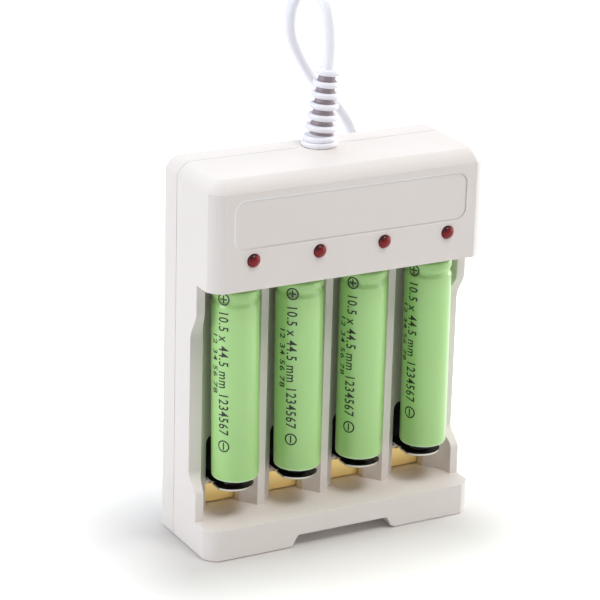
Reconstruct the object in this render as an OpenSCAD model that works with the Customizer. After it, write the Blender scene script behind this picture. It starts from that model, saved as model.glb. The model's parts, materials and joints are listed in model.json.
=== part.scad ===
// Four-bay charger for AA and AAA cells, standing upright, with four AAA cells fitted
// and a thin lead leaving the top. Millimetres. X runs across, Y runs from the front to
// the back, Z is up. The origin is the middle of the base.

/* [Housing] */
// Width of the housing
body_w = 66.6; // [66:0.2:76]
// Depth of the housing, front face to back face
body_d = 24.2; // [23:0.1:27]
// Height of the hood above the bays
hood_h = 24.3; // [23:0.1:28]
// Depth at which the front housing meets the rear cover
seam_y = 17.5; // [17.3:0.1:18.2]
// Width of the soft bevel round the front and along the top
front_bevel = 2.7; // [2.4:0.1:2.9]
// Radius of the back corners
back_r = 1.2; // [0.8:0.1:1.6]
// Bevel round the underside
foot_bevel = 0.4; // [0.2:0.1:0.8]
// Thickness of the moulded shell
shell_t = 1.8; // [1.7:0.1:2.2]
// Width and depth of the fine groove along the seam
seam_groove = 0.2; // [0.1:0.05:0.3]

/* [Bays] */
// Radius of the round trough behind each cell, sized for an AA cell
trough_r = 7.7; // [7.6:0.05:7.8]
// Distance from the housing's front to the troughs' axis
trough_y = 6.25; // [6.2:0.05:6.6]
// Margin outside the outer bays, both sides together
side_margin = 3.4; // [3:0.1:4]
// Distance from the housing's front to the rib fronts
rib_front_y = 9.4; // [8.6:0.1:10.5]
// Distance from the housing's front to the rib fronts, near their feet
rib_foot_y = 8.2; // [7.5:0.1:9]
// Thickness of the floor behind the troughs
floor_t = 1.45; // [1.3:0.05:1.6]
// Height of the ledge below the bays
ledge_h = 7.3; // [7:0.1:8.2]
// Setback of the side walls under the hood
wall_top_y = 7.4; // [6:0.1:8.5]
// Setback of the side walls along the cells
wall_mid_y = 10.2; // [9:0.1:11]
// Setback of the side walls above the ledge
wall_foot_y = 6.6; // [5:0.1:8]

/* [Front details] */
// Distance from the label recess to the sides
label_margin = 5.1; // [4.8:0.1:8]
// Depth of the label recess
label_deep = 0.5; // [0.2:0.1:0.8]
// Radius of the label recess's corners
label_r = 2.6; // [1:0.1:3]
// Width of the notch under the ledge, at the foot
notch_w = 27.6; // [20:0.2:32]
// Height of the notch under the ledge
notch_h = 2.9; // [2:0.1:3.6]
// Depth of the notch under the ledge
notch_deep = 5.5; // [3:0.1:6]

/* [Lamps] */
// Diameter of each indicator lamp
led_d = 3; // [3:0.1:3.2]
// How far each lamp stands out of the front
led_out = 1.3; // [0.5:0.1:1.5]

/* [Cells] */
// Diameter of an AAA cell over its sleeve
cell_d = 10.5; // [10:0.1:10.5]
// Length of an AAA cell with its positive nub
cell_l = 44.5; // [43.8:0.05:44.5]
// Height of the positive nub
nub_h = 0.6; // [0.5:0.05:1]
// Thickness of the printed sleeve
sleeve_t = 0.2; // [0.15:0.05:0.3]
// Gap between a fitted cell and the trough behind it
cell_gap = 0.5; // [0.3:0.05:0.8]

/* [AAA flaps] */
// Height of the flap's upper face above the ledge
flap_rise = 7.6; // [7.4:0.1:8]
// Thickness of the flap
flap_t = 0.5; // [0.4:0.05:0.6]
// Width of the flap at its root
flap_w = 8.1; // [7.6:0.1:8.2]
// Width of the flap's tongue
tongue_w = 8.6; // [8:0.1:9]
// Distance from the housing's front to the tip of the tongue
tongue_y = 3.4; // [2.5:0.1:4.5]
// Height of the dimple that the cell stands on
dimple_h = 1.4; // [1:0.1:1.6]
// Gap between the flap's sides and the window behind it
window_gap = 0.15; // [0.1:0.05:0.3]
// Height of the window behind the flap
window_h = 10.3; // [9.5:0.1:11]

/* [Sprung contacts] */
// Thickness of the sprung contact strips
strip_t = 0.35; // [0.3:0.05:0.45]
// Width of the brass contact leaf behind the recess
leaf_w = 7.8; // [7:0.1:8]
// How far the leaf's arm reaches forward
arm_reach = 7; // [6:0.1:8]
// Width of the positive contact's pad
pad_w = 7; // [6:0.1:7.6]
// Distance from the housing's front to the pad's front edge
pad_y = 5.2; // [5:0.1:6]

/* [Lead] */
// Diameter of the lead
cord_d = 2.8; // [2.6:0.1:3]
// Diameter of the strain relief's base
relief_d = 8; // [7:0.1:9]
// Length of the strain relief above the housing
relief_l = 17; // [16.4:0.1:19]
// Distance of the strain relief from the middle
relief_x = 0.85; // [-2:0.05:2]
// Diameter of the lead's coil, at the middle of its turns
coil_d = 30.8; // [28:0.2:34]
// Length of the plug's moulded grip
grip_l = 19; // [16:0.5:24]
// Width of the plug's moulded grip
grip_w = 15.6; // [14:0.2:17]
// Thickness of the plug's moulded grip
grip_t = 8; // [7:0.1:9]

/* [Hidden] */

bays = 4;
fine = 0.01;
gap = 0.05;
origin_y = (led_out - body_d) / 2;
bay_pitch = (body_w - side_margin) / bays;
bay_x = [for (i = [0 : bays - 1]) (i - (bays - 1) / 2) * bay_pitch];
floor_y = trough_y + trough_r;
floor_back = floor_y + floor_t;
inner_w = body_w - 2 * shell_t;
back_in = body_d - shell_t;

// Heights: the ledge carries the flaps, they carry the cells, and the hood is above them
flap_z = ledge_h + flap_rise;
cell_z = flap_z + dimple_h;
cell_top = cell_z + cell_l;
hood_z = cell_top + 0.95;
hood_floor = hood_z + shell_t;
body_h = hood_z + hood_h;
roof_z = body_h - shell_t;
led_z = hood_z + hood_h * 0.272;
label_z = hood_z + hood_h * 0.376;
label_h = hood_h * 0.442;
label_w = body_w - 2 * label_margin;

// The cells lean a little and stand a little off the middle of their bays
cell_r = cell_d / 2;
cell_y = floor_y - cell_r - cell_gap;
cell_off = [0.75, 0.33, 0.1, 1];
cell_lean = [-1, -0.85, -0.25, -0.7];
dimple_foot_r = 2.3;
dimple_top_r = 1.4;

// The soft bevel is a shallow arc that turns by twice this angle, between two faint edges
bevel_crown = 20;
bevel_r = front_bevel / sqrt(2) / sin(bevel_crown);
bevel_mid = front_bevel / 2 + bevel_r * cos(bevel_crown) / sqrt(2);
bevel_n = 6;
back_n = 5;

// The side walls change depth over these heights, each by a smooth step
upper_step_h = 6.8;
lower_step_h = 4.6;
upper_step_drop = 13;
lower_step_rise = 6.2;
upper_step_z = hood_z - upper_step_drop;
lower_step_z = ledge_h + lower_step_rise;
step_n = 10;

// Each rib's foot runs forward into the ledge in a curve
rib_toe = [[2.9, 0], [1.6, 0.25], [0.8, 0.75], [0.3, 1.5], [0, 2.6]];

// Openings in the trough, the leaf's below and the flap's above one bar
recess_top = flap_z - 1.8;
window_foot = flap_z - 1.1;
window_top = window_foot + window_h;
window_w = flap_w + 2 * window_gap;
window_r = 1.6;
recess_w = leaf_w + 0.5;

// The flap turns on a pin held beside its window
pin_r = 0.35;
pin_clear = 0.08;
barrel_r = 0.72;
pin_l = window_w + 1.4;
barrel_y = floor_y + 0.35;
barrel_z = flap_z - flap_t / 2 - 0.1;
flap_root_y = cell_y + 1.6;
neck_w = tongue_w - 1;

// The brass leaf stands behind the ledge and reaches forward under the flap
leaf_y = floor_back - 0.3;
leaf_foot = ledge_h + 0.3;
leaf_bend = flap_z - 2.8;
arm_rise = 1.5;
arm_knee = 3;
arm_w = 3.4;
bus_h = 2.8;
bus_t = 0.4;
carrier_t = 2;
carrier_foot = 0.3;
carrier_rise = 2;

// The positive contact hangs from the hood's floor through an opening
pad_z = cell_top + 2 * gap;
pad_back = 10.6;
root_y = 15;
root_front = 12.9;
root_z = hood_floor + gap;
tip_rise = 0.5;
opening_w = pad_w + 1.6;
opening_front = 3.4;
opening_back = floor_y - 0.5;

// Four screws hold the rear cover to posts in the front housing
screw_side = 5.4;
screw_drop = 6.8;
screw_x = body_w / 2 - screw_side;
low_screw_z = 4.4;
high_screw_z = body_h - screw_drop;
screw_z = [low_screw_z, high_screw_z];
screw_post_r = 2.4;
tower_r = 3.2;
head_r = 2;
head_h = 1.4;
head_y = body_d - 3.4;
shank_r = 1;
shank_clear = 0.2;
screw_l = 9.6;
under_y = notch_deep + 2.5;

// The board stands in the hood behind the lamps, on two posts
board_t = 1.6;
board_y = 12;
board_w = 2 * (screw_x - screw_post_r - 0.4);
board_z = hood_floor + 1.9;
board_h = roof_z - board_z - 2.2;
board_back = board_y + board_t;
board_post_x = bay_pitch;
board_post_z = board_z + board_h * 0.72;
post_r = 2.2;
board_hole_r = 1.2;
pilot_r = 0.8;
board_screw_l = 5.4;
board_head_r = 1.9;
board_head_h = 1.2;

// Parts on the board
resistor_r = 1.2;
resistor_l = 6.4;
resistor_rise = 6;
resistor_z = board_z + resistor_rise;
transistor_r = 2.3;
transistor_h = 3.4;
transistor_z = board_z + 0.9;
capacitor_r = 2.5;
capacitor_l = 8;
capacitor_z = board_z + board_h - 3;
chip_w = 5;
chip_h = 6;
chip_t = 1.6;
chip_rise = 8.6;
chip_z = board_z + chip_rise;

// The strain relief: its ribs' and collar's diameters are shares of its base's
relief_hole_r = 2.9;
relief_lean = 5.4;
base_h = 2.4;
base_step_d = 0.6;
rib_shares = [0.895, 0.85, 0.81, 0.785, 0.73];
rib_n = len(rib_shares);
rib_pitch = 2.42;
rib_h = 1.2;
first_rib_z = 3.45;
collar_share = 0.712;
collar_h = 1.25;
core_low_d = 4.9;
core_high_d = 3.7;
edge_c = 0.25;
inner_flange_h = 1.4;

// The lead's visible route, and then down behind the housing to the coil
coil_turn_w = 3;
coil_turn_h = 2;
coil_at = [3, 37];
relief_tip = [relief_x + relief_l * sin(relief_lean), seam_y + origin_y,
    body_h + relief_l * cos(relief_lean)];
cord_route = [
    [2.8, 6.1, 105.9], [2.9, 6.2, 108.5], [2.8, 6.3, 111.2], [2.6, 6.7, 113.8],
    [2.4, 7.6, 116.2], [2.2, 9.3, 118.1], [1.9, 11.8, 119.1], [1.6, 14.5, 118.9],
    [1.3, 16.9, 117.7], [0.9, 18.7, 115.7], [0.6, 19.7, 113.2], [0.6, 20.2, 110.6],
    [0.9, 20.4, 107.9], [1.8, 20.5, 105.3], [3.3, 20.5, 102.3], [6.2, 20.4, 97.7],
    [9.8, 20.3, 93.6], [13.2, 20, 89.9], [15.9, 19.5, 85.4], [17.6, 19.1, 80.5],
    [18.6, 18.8, 75.5], [19.1, 18.4, 69], [19.3, 18, 61], [19, 18, 53], [18.6, 18, 45],
    [18, 18, 37], [17.3, 18, 29], [16.3, 18.1, 21], [14.8, 18.3, 14.5], [12.2, 18.5, 9.5],
    [8.5, 18.7, 6.2]];
tail_route = [[9, 54.6, 1.45], [13, 53.3, 1.6], [16.8, 51.9, 2.3], [20.8, 50.4, 3.3]];
plug_at = [25, 49.5, grip_t / 2];
cord_sides = 8;

// USB plug
nose_l = 4;
shell_l = 11.8;
shell_w = 12;
shell_h = 4.5;
shell_wall = 0.3;
tongue_l = 9;
tongue_plate_w = 11;
tongue_t = 1.8;

// One quarter turn of an arc, as points
function arc(x, y, r, from, to, n) = [for (i = [0 : n])
    let (a = from + (to - from) * i / n) [x + r * cos(a), y + r * sin(a)]];

// The soft bevel, as insets from the two faces it joins; it narrows on an outline drawn in by d
function bevel(d) =
    let (share = 1 - (2 - sqrt(2)) * d / front_bevel)
    [for (i = [0 : bevel_n])
        let (a = 45 + bevel_crown * (2 * i / bevel_n - 1))
        [share * (bevel_mid - bevel_r * cos(a)), share * (bevel_mid - bevel_r * sin(a))]];

// Right half of the plan outline, drawn in by d in front and beside, and by b at the back
function half_plan(d, b) =
    let (side = body_w / 2 - d)
    concat(
        [for (p = bevel(d)) [side - p[1], d + p[0]]],
        arc(side - back_r, body_d - b - back_r, back_r, 0, 90, back_n));

function plan(d, b) =
    let (right = half_plan(d, b), last = len(right) - 1)
    concat(right, [for (i = [0 : last]) [-right[last - i][0], right[last - i][1]]]);

// Height and two insets of each level: bevelled foot, straight side, bevelled top
function back_inset(z, inset) =
    let (r = back_r - inset, t = z - (body_h - back_r))
    inset + (t > 0 ? r - sqrt(max(0, r * r - t * t)) : 0);

function levels(inset) = concat(
    [[inset, inset + foot_bevel, inset + foot_bevel], [inset + foot_bevel, inset, inset]],
    [for (p = bevel(inset))
        let (z = body_h - inset - p[1])
        [z, inset + p[0], back_inset(z, inset)]]);

// The two halves of the housing share one block with softened edges
module rounded_block(inset = 0) {
    level = levels(inset);
    m = len(level);
    n = len(plan(0, 0));
    polyhedron(
        points = [for (q = level, p = plan(q[1], q[2])) [p[0], p[1], q[0]]],
        faces = concat(
            [[for (i = [0 : n - 1]) i]],
            [for (k = [0 : m - 2], i = [0 : n - 1])
                [k * n + i, (k + 1) * n + i, (k + 1) * n + (i + 1) % n]],
            [for (k = [0 : m - 2], i = [0 : n - 1])
                [k * n + i, (k + 1) * n + (i + 1) % n, k * n + (i + 1) % n]],
            [[for (i = [1 : n]) m * n - i]]));
}

// A box from its low corner to its high corner
module box(low, high) {
    translate(low)
        cube(high - low);
}

// Places a part in the object's frame, measured from the housing's front
module placed() {
    translate([0, origin_y, 0])
        children();
}

// A cylinder along Y from one depth to another
module rod_y(x, z, r, y0, y1, sides = 48) {
    translate([x, y0, z])
        rotate([-90, 0, 0])
            cylinder(r = r, h = y1 - y0, $fn = sides);
}

// An outline drawn in Y and Z, extruded across X about its middle
module across(width) {
    rotate([90, 0, 90])
        linear_extrude(width, center = true)
            children();
}

function eased(t) = (1 - cos(180 * t)) / 2;

// Points of a smooth step from one depth to another, going up from z
function step_points(y_low, y_high, z, rise) = [for (i = [0 : step_n])
    [y_low + (y_high - y_low) * eased(i / step_n), z + rise * i / step_n]];

// The space in front of the side walls, and in front of the ribs
module wall_cut() {
    across(body_w + 2)
        polygon(concat(
            [[-1, ledge_h], [wall_foot_y, ledge_h]],
            step_points(wall_foot_y, wall_mid_y, lower_step_z, lower_step_h),
            step_points(wall_mid_y, wall_top_y, upper_step_z, upper_step_h),
            [[wall_top_y, hood_z], [-1, hood_z]]));
}

module rib_cut() {
    across(bay_x[bays - 1] - bay_x[0])
        polygon(concat(
            [[-1, ledge_h]],
            [for (p = rib_toe) [rib_foot_y - p[0], ledge_h + p[1]]],
            step_points(rib_foot_y, rib_front_y, lower_step_z, lower_step_h),
            [[rib_front_y, hood_z], [-1, hood_z]]));
}

// The round trough of one bay, open to the front
module trough(x) {
    translate([x, trough_y, ledge_h])
        cylinder(r = trough_r, h = hood_z - ledge_h, $fn = 96);
}

module label_recess() {
    translate([0, label_deep, label_z + label_h / 2])
        rotate([90, 0, 0])
            linear_extrude(2)
                rounded_rect(label_w, label_h, label_r);
}

module rounded_rect(w, h, r) {
    square([w - 2 * r, h], center = true);
    square([w, h - 2 * r], center = true);
    for (x = [-1, 1], y = [-1, 1])
        translate([x * (w / 2 - r), y * (h / 2 - r)])
            circle(r = r, $fn = 40);
}

module notch() {
    translate([0, notch_deep, 0])
        rotate([90, 0, 0])
            linear_extrude(notch_deep + 1)
                polygon([[-notch_w / 2, -1], [-notch_w / 2, 0], [-notch_w / 2 + 1.4, 0.7],
                    [-notch_w / 2 + 2, notch_h - 0.9], [-notch_w / 2 + 2.7, notch_h],
                    [notch_w / 2 - 2.7, notch_h], [notch_w / 2 - 2, notch_h - 0.9],
                    [notch_w / 2 - 1.4, 0.7], [notch_w / 2, 0], [notch_w / 2, -1]]);
}

// The two openings behind one bay: the leaf's recess, and the flap's window above it
module floor_openings(x) {
    box([x - recess_w / 2, trough_y, ledge_h], [x + recess_w / 2, floor_back + 1, recess_top]);
    translate([x, floor_back + 1, window_foot + window_h / 2])
        rotate([90, 0, 0])
            linear_extrude(floor_back + 1 - trough_y)
                union() {
                    rounded_rect(window_w, window_h, window_r);
                    translate([-window_w / 2, -window_h / 2])
                        square([window_w, window_h / 2]);
                }
    translate([x - pin_l / 2 - 0.1, barrel_y, barrel_z])
        rotate([0, 90, 0])
            cylinder(r = pin_r + pin_clear, h = pin_l + 0.2, $fn = 32);
}

// The front or the back of the rounded block, stepped in by the groove at the seam
module block_part(low_y, high_y, groove_low, groove_high) {
    intersection() {
        rounded_block();
        box([-body_w, low_y + groove_low, -1], [body_w, high_y - groove_high, body_h + 1]);
    }
    intersection() {
        rounded_block(seam_groove);
        box([-body_w, low_y, -1], [body_w, high_y, body_h + 1]);
    }
}

module relief_hole() {
    translate([relief_x, seam_y, roof_z - 2])
        cylinder(r = relief_hole_r, h = shell_t + 4, $fn = 64);
}

module front_housing() {
    color("whitesmoke") placed() difference() {
        union() {
            difference() {
                block_part(-1, seam_y, 0, seam_groove / 2);
                difference() {
                    wall_cut();
                    box([bay_x[0], -2, ledge_h - 1], [bay_x[bays - 1], floor_back, hood_z + 1]);
                }
                rib_cut();
                for (x = bay_x)
                    trough(x);
                // the hood's inside
                box([-inner_w / 2, shell_t, hood_floor], [inner_w / 2, seam_y + 1, roof_z]);
                // the space behind the bay floor
                box([-inner_w / 2, floor_back, ledge_h], [inner_w / 2, seam_y + 1, roof_z]);
                // the space under the ledge
                box([-inner_w / 2, under_y, shell_t],
                    [inner_w / 2, seam_y + 1, ledge_h - shell_t]);
            }
            for (x = [-screw_x, screw_x]) {
                rod_y(x, low_screw_z, screw_post_r, under_y - fine, seam_y - gap);
                rod_y(x, high_screw_z, screw_post_r, shell_t - fine, seam_y - gap);
            }
            for (x = [-board_post_x, board_post_x])
                rod_y(x, board_post_z, post_r, shell_t - fine, board_y);
        }
        label_recess();
        notch();
        for (x = bay_x) {
            rod_y(x, led_z, led_d / 2 + gap, -1, shell_t + 1);
            floor_openings(x);
            box([x - opening_w / 2, opening_front, hood_z - 1],
                [x + opening_w / 2, opening_back, hood_floor + fine]);
        }
        for (x = [-screw_x, screw_x], z = screw_z)
            rod_y(x, z, shank_r - 0.1, head_y - screw_l + head_h - 0.6, seam_y + 1);
        for (x = [-board_post_x, board_post_x])
            rod_y(x, board_post_z, pilot_r, board_y - board_screw_l, board_y + 1);
        relief_hole();
    }
}

module rear_cover() {
    color("whitesmoke") placed() difference() {
        union() {
            difference() {
                block_part(seam_y, body_d + 1, seam_groove / 2, 0);
                box([-inner_w / 2, seam_y - 1, shell_t], [inner_w / 2, back_in, roof_z]);
            }
            for (x = [-screw_x, screw_x], z = screw_z)
                rod_y(x, z, tower_r, seam_y, back_in + fine);
        }
        for (x = [-screw_x, screw_x], z = screw_z) {
            rod_y(x, z, shank_r + shank_clear, seam_y - 1, body_d + 1);
            rod_y(x, z, head_r + shank_clear, head_y, body_d + 1);
        }
        relief_hole();
    }
}

// A pan-head screw along Y, its head at the back
module screw(x, z, y_seat, length, r_head, h_head, r_shank) {
    rod_y(x, z, r_shank, y_seat - length, y_seat + fine);
    difference() {
        rod_y(x, z, r_head, y_seat, y_seat + h_head);
        for (turn = [0, 90])
            translate([x, y_seat + h_head, z])
                rotate([0, turn, 0])
                    cube([r_head * 1.2, 1, 0.5], center = true);
    }
}

module cover_screws() {
    color("silver") placed()
        for (x = [-screw_x, screw_x], z = screw_z)
            screw(x, z, head_y, screw_l - head_h, head_r, head_h, shank_r - 0.12);
}

module circuit_board() {
    color("darkgreen") placed() difference() {
        box([-board_w / 2, board_y, board_z], [board_w / 2, board_back, board_z + board_h]);
        for (x = [-board_post_x, board_post_x])
            rod_y(x, board_post_z, board_hole_r, board_y - 1, board_back + 1);
    }
}

module board_screws() {
    color("silver") placed()
        for (x = [-board_post_x, board_post_x])
            screw(x, board_post_z, board_back, board_screw_l, board_head_r, board_head_h,
                pilot_r - 0.02);
}

module rod_x(x, y, z, r, length) {
    translate([x - length / 2, y, z])
        rotate([0, 90, 0])
            cylinder(r = r, h = length, $fn = 32);
}

module charge_resistors() {
    color("tan") placed()
        for (x = bay_x)
            rod_x(x, board_back + resistor_r, resistor_z, resistor_r, resistor_l);
}

module transistors() {
    color("dimgray") placed()
        for (x = bay_x)
            translate([x, board_back + transistor_r * 0.7, transistor_z])
                intersection() {
                    cylinder(r = transistor_r, h = transistor_h, $fn = 40);
                    translate([-transistor_r, -transistor_r * 0.7, 0])
                        cube([2 * transistor_r, 2 * transistor_r, transistor_h]);
                }
}

module capacitor() {
    color("black") placed()
        rod_x(1, board_back + capacitor_r, capacitor_z, capacitor_r, capacitor_l);
}

module control_chip() {
    color("black") placed()
        box([-board_w / 2 + 1, board_back, chip_z],
            [-board_w / 2 + 1 + chip_w, board_back + chip_t, chip_z + chip_h]);
}

// One lamp with its collar inside the hood and two legs to the board
module led(i) {
    r = led_d / 2;
    color("red") placed() {
        translate([bay_x[i], r - led_out, led_z])
            sphere(r = r, $fn = 32);
        rod_y(bay_x[i], led_z, r, r - led_out, 4.4);
        rod_y(bay_x[i], led_z, r + 0.25, shell_t + gap, shell_t + 1);
        for (x = [-0.7, 0.7])
            rod_y(bay_x[i] + x, led_z, 0.25, 4.4 - fine, board_y, 16);
    }
}

// The black moulding behind the bay floor that carries the contacts
module contact_carrier() {
    color("black") placed()
        box([-inner_w / 2 + 0.6, floor_back + gap, recess_top + carrier_foot],
            [inner_w / 2 - 0.6, floor_back + gap + carrier_t, window_top + carrier_rise]);
}

module negative_bus() {
    color("goldenrod") placed()
        box([-board_w / 2, leaf_y + strip_t + gap, ledge_h + gap],
            [board_w / 2, leaf_y + strip_t + gap + bus_t, ledge_h + bus_h]);
}

// A brass strip: its upright part shows in the recess, its arm meets an AA cell
module negative_leaf(i) {
    x = bay_x[i];
    color("goldenrod") placed() {
        box([x - leaf_w / 2, leaf_y, leaf_foot], [x + leaf_w / 2, leaf_y + strip_t, leaf_bend]);
        translate([x, 0, 0])
            across(arm_w)
                polygon([[leaf_y + strip_t, leaf_bend - strip_t], [leaf_y + strip_t, leaf_bend],
                    [leaf_y - arm_knee, leaf_bend + arm_rise],
                    [leaf_y - arm_reach, leaf_bend + arm_rise],
                    [leaf_y - arm_reach, leaf_bend + arm_rise - strip_t],
                    [leaf_y - arm_knee, leaf_bend + arm_rise - strip_t]]);
    }
}

// A nickelled strip: root on the hood's floor, a bend down through the opening, and a pad
module positive_contact(i) {
    color("silver") placed()
        translate([bay_x[i], 0, 0])
            across(pad_w)
                polygon([[root_y, root_z], [root_y, root_z + strip_t],
                    [root_front - 0.2, root_z + strip_t], [pad_back, pad_z + strip_t],
                    [pad_y, pad_z + strip_t], [pad_y - tip_rise, pad_z + strip_t + tip_rise],
                    [pad_y - tip_rise - strip_t, pad_z + tip_rise], [pad_y - 0.1, pad_z],
                    [pad_back + 0.2, pad_z], [root_front, root_z]]);
}

// The hinged flap that an AAA cell stands on, folded down
module aaa_flap(i) {
    x = bay_x[i];
    nose_r = cell_y - tongue_y;
    color("silver") placed() {
        translate([x, 0, flap_z - flap_t])
            linear_extrude(flap_t)
                union() {
                    translate([-flap_w / 2, flap_root_y])
                        square([flap_w, barrel_y - flap_root_y]);
                    translate([-neck_w / 2, cell_y])
                        square([neck_w, flap_root_y - cell_y + fine]);
                    intersection() {
                        translate([0, cell_y])
                            circle(r = nose_r, $fn = 64);
                        translate([-tongue_w / 2, 0])
                            square([tongue_w, cell_y + 0.9]);
                    }
                }
        translate([x, cell_y, flap_z - fine])
            cylinder(r1 = dimple_foot_r, r2 = dimple_top_r, h = dimple_h + fine - gap / 5, $fn = 40);
        translate([x - flap_w / 2, barrel_y, barrel_z])
            rotate([0, 90, 0])
                cylinder(r = barrel_r, h = flap_w, $fn = 32);
        translate([x - pin_l / 2, barrel_y, barrel_z])
            rotate([0, 90, 0])
                cylinder(r = pin_r, h = pin_l, $fn = 32);
    }
}

// Outline of a cell's side, r and z, with its bead and rounded shoulder
shoulder_z = cell_l - nub_h;
bead_z = shoulder_z - 2.6;
function side_outline(r) = [
    [r - 0.45, 0.12], [r - 0.12, 0.3], [r, 0.7],
    [r, bead_z - 0.9], [r - 0.12, bead_z - 0.5], [r - 0.3, bead_z], [r - 0.12, bead_z + 0.5],
    [r, bead_z + 1], [r, shoulder_z - 0.6], [r - 0.12, shoulder_z - 0.25],
    [r - 0.4, shoulder_z]];

// Places a cell in its bay, on its flap
module standing(i) {
    translate([bay_x[i] + cell_off[i], cell_y, cell_z + dimple_top_r * abs(sin(cell_lean[i]))])
        rotate([0, cell_lean[i], 0])
            children();
}

module cell_can(i) {
    r = cell_r - sleeve_t;
    color("silver") placed() standing(i)
        rotate_extrude($fn = 64)
            polygon(concat([[0, 0], [r - 0.9, 0]], side_outline(r),
                [[2, shoulder_z], [1.8, cell_l], [0, cell_l]]));
}

// The sleeve wraps the side and turns in over the shoulder
module cell_sleeve(i) {
    outer = side_outline(cell_r);
    inner = side_outline(cell_r - sleeve_t);
    last = len(inner) - 1;
    lip_z = shoulder_z + sleeve_t;
    color("yellowgreen") placed() standing(i)
        rotate_extrude($fn = 64)
            polygon(concat(
                [for (j = [1 : last]) outer[j - 1]],
                [[cell_r - 0.5, lip_z], [cell_r - 1.4, lip_z], [cell_r - 1.4, shoulder_z + fine]],
                [for (j = [0 : last]) inner[last - j] + [0, j == 0 ? fine : 0]]));
}

// Outline of one rib with broken edges, from the core out and back
function bead(core, r, z0, z1) = [
    [core, z0], [r - edge_c, z0], [r, z0 + edge_c], [r, z1 - edge_c], [r - edge_c, z1], [core, z1]];

// The ribbed strain relief: a neck clamped by both halves, a base, ribs and a collar
module strain_relief() {
    core_r = core_low_d / 2;
    tip_r = core_high_d / 2;
    base_r = relief_d / 2;
    color("whitesmoke") placed()
        translate([relief_x, seam_y, body_h]) {
            translate([0, 0, -shell_t - inner_flange_h])
                cylinder(r = base_r - 0.2, h = inner_flange_h - gap, $fn = 48);
            translate([0, 0, -shell_t - inner_flange_h])
                cylinder(r = relief_hole_r - gap, h = shell_t + inner_flange_h + 1, $fn = 48);
            rotate_extrude($fn = 48)
                polygon(concat(bead(0, base_r, gap, base_h / 2),
                    bead(0, base_r - base_step_d / 2, base_h / 2, base_h)));
            rotate([0, relief_lean, 0])
                rotate_extrude($fn = 48)
                    polygon(concat([[0, 0], [core_r, 0]],
                        [for (k = [0 : rib_n - 1]) each bead(
                            core_r + (tip_r - core_r) * k / rib_n, base_r * rib_shares[k],
                            first_rib_z + rib_pitch * k, first_rib_z + rib_pitch * k + rib_h)],
                        bead(tip_r, base_r * collar_share, relief_l - collar_h, relief_l),
                        [[0, relief_l]]));
        }
}

// Sweeps a round tube along a route, its rings kept from twisting
function unit(v) = v / norm(v);
function heading(route, i) = unit(route[min(i + 1, len(route) - 1)] - route[max(i - 1, 0)]);
function carried(side, along) = unit(side - along * (side * along));
function sides_of(route, i, side) = i == len(route) ? [] :
    let (next = carried(side, heading(route, i))) concat([next], sides_of(route, i + 1, next));

module tube(route, d, start_side) {
    sides = sides_of(route, 0, start_side);
    n = cord_sides;
    last = len(route) - 1;
    points = [for (i = [0 : last], k = [0 : n - 1])
        route[i] + d / 2 * (cos(360 * k / n) * sides[i]
            + sin(360 * k / n) * cross(heading(route, i), sides[i]))];
    polyhedron(points = points, faces = concat(
        [[for (k = [0 : n - 1]) k]],
        [for (i = [0 : last - 1], k = [0 : n - 1])
            [i * n + k, (i + 1) * n + k, (i + 1) * n + (k + 1) % n, i * n + (k + 1) % n]],
        [[for (k = [0 : n - 1]) last * n + n - 1 - k]]), convexity = 6);
}

coil_r = coil_d / 2;
coil_entry = [coil_at[0] + 1, coil_at[1] - coil_r - cord_d, cord_d * (coil_turn_h - 0.5)];
coil_leave = [coil_at[0], coil_at[1] + coil_r + cord_d, cord_d / 2];

module cord() {
    color("whitesmoke")
        tube(concat([relief_tip], cord_route, [coil_entry]), cord_d, [0, 1, 0]);
}

module cord_coil() {
    color("whitesmoke")
        translate([coil_at[0], coil_at[1], 0])
            rotate_extrude($fn = 64)
                translate([coil_r, cord_d * coil_turn_h / 2])
                    rounded_rect(cord_d * coil_turn_w, cord_d * coil_turn_h, cord_d * 0.45);
}

module cord_tail() {
    color("whitesmoke")
        tube(concat([coil_leave], tail_route, [plug_at]), cord_d, [0, 1, 0]);
}

// The plug lies flat behind the coil, pointing along X
module plug_grip() {
    color("whitesmoke")
        translate(plug_at)
            rotate([90, 0, 90]) {
                cylinder(d = cord_d + 2, h = nose_l + 1, $fn = 32);
                translate([0, 0, nose_l])
                    linear_extrude(grip_l)
                        rounded_rect(grip_w, grip_t, 2);
            }
}

module plug_shell() {
    color("silver")
        translate(plug_at + [nose_l + grip_l, 0, 0])
            rotate([90, 0, 90])
                difference() {
                    linear_extrude(shell_l)
                        square([shell_w, shell_h], center = true);
                    translate([0, 0, shell_wall])
                        linear_extrude(shell_l)
                            square([shell_w - 2 * shell_wall, shell_h - 2 * shell_wall], center = true);
                    for (x = [-2.8, 2.8])
                        translate([x - 1, -shell_h, 5.2])
                            cube([2, 2 * shell_h, 2.2]);
                }
}

module plug_tongue() {
    color("white")
        translate(plug_at + [nose_l + grip_l + shell_wall, 0, 0])
            rotate([90, 0, 90])
                translate([-tongue_plate_w / 2, shell_wall - shell_h / 2 + 0.02, 0])
                    cube([tongue_plate_w, tongue_t, tongue_l]);
}

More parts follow.
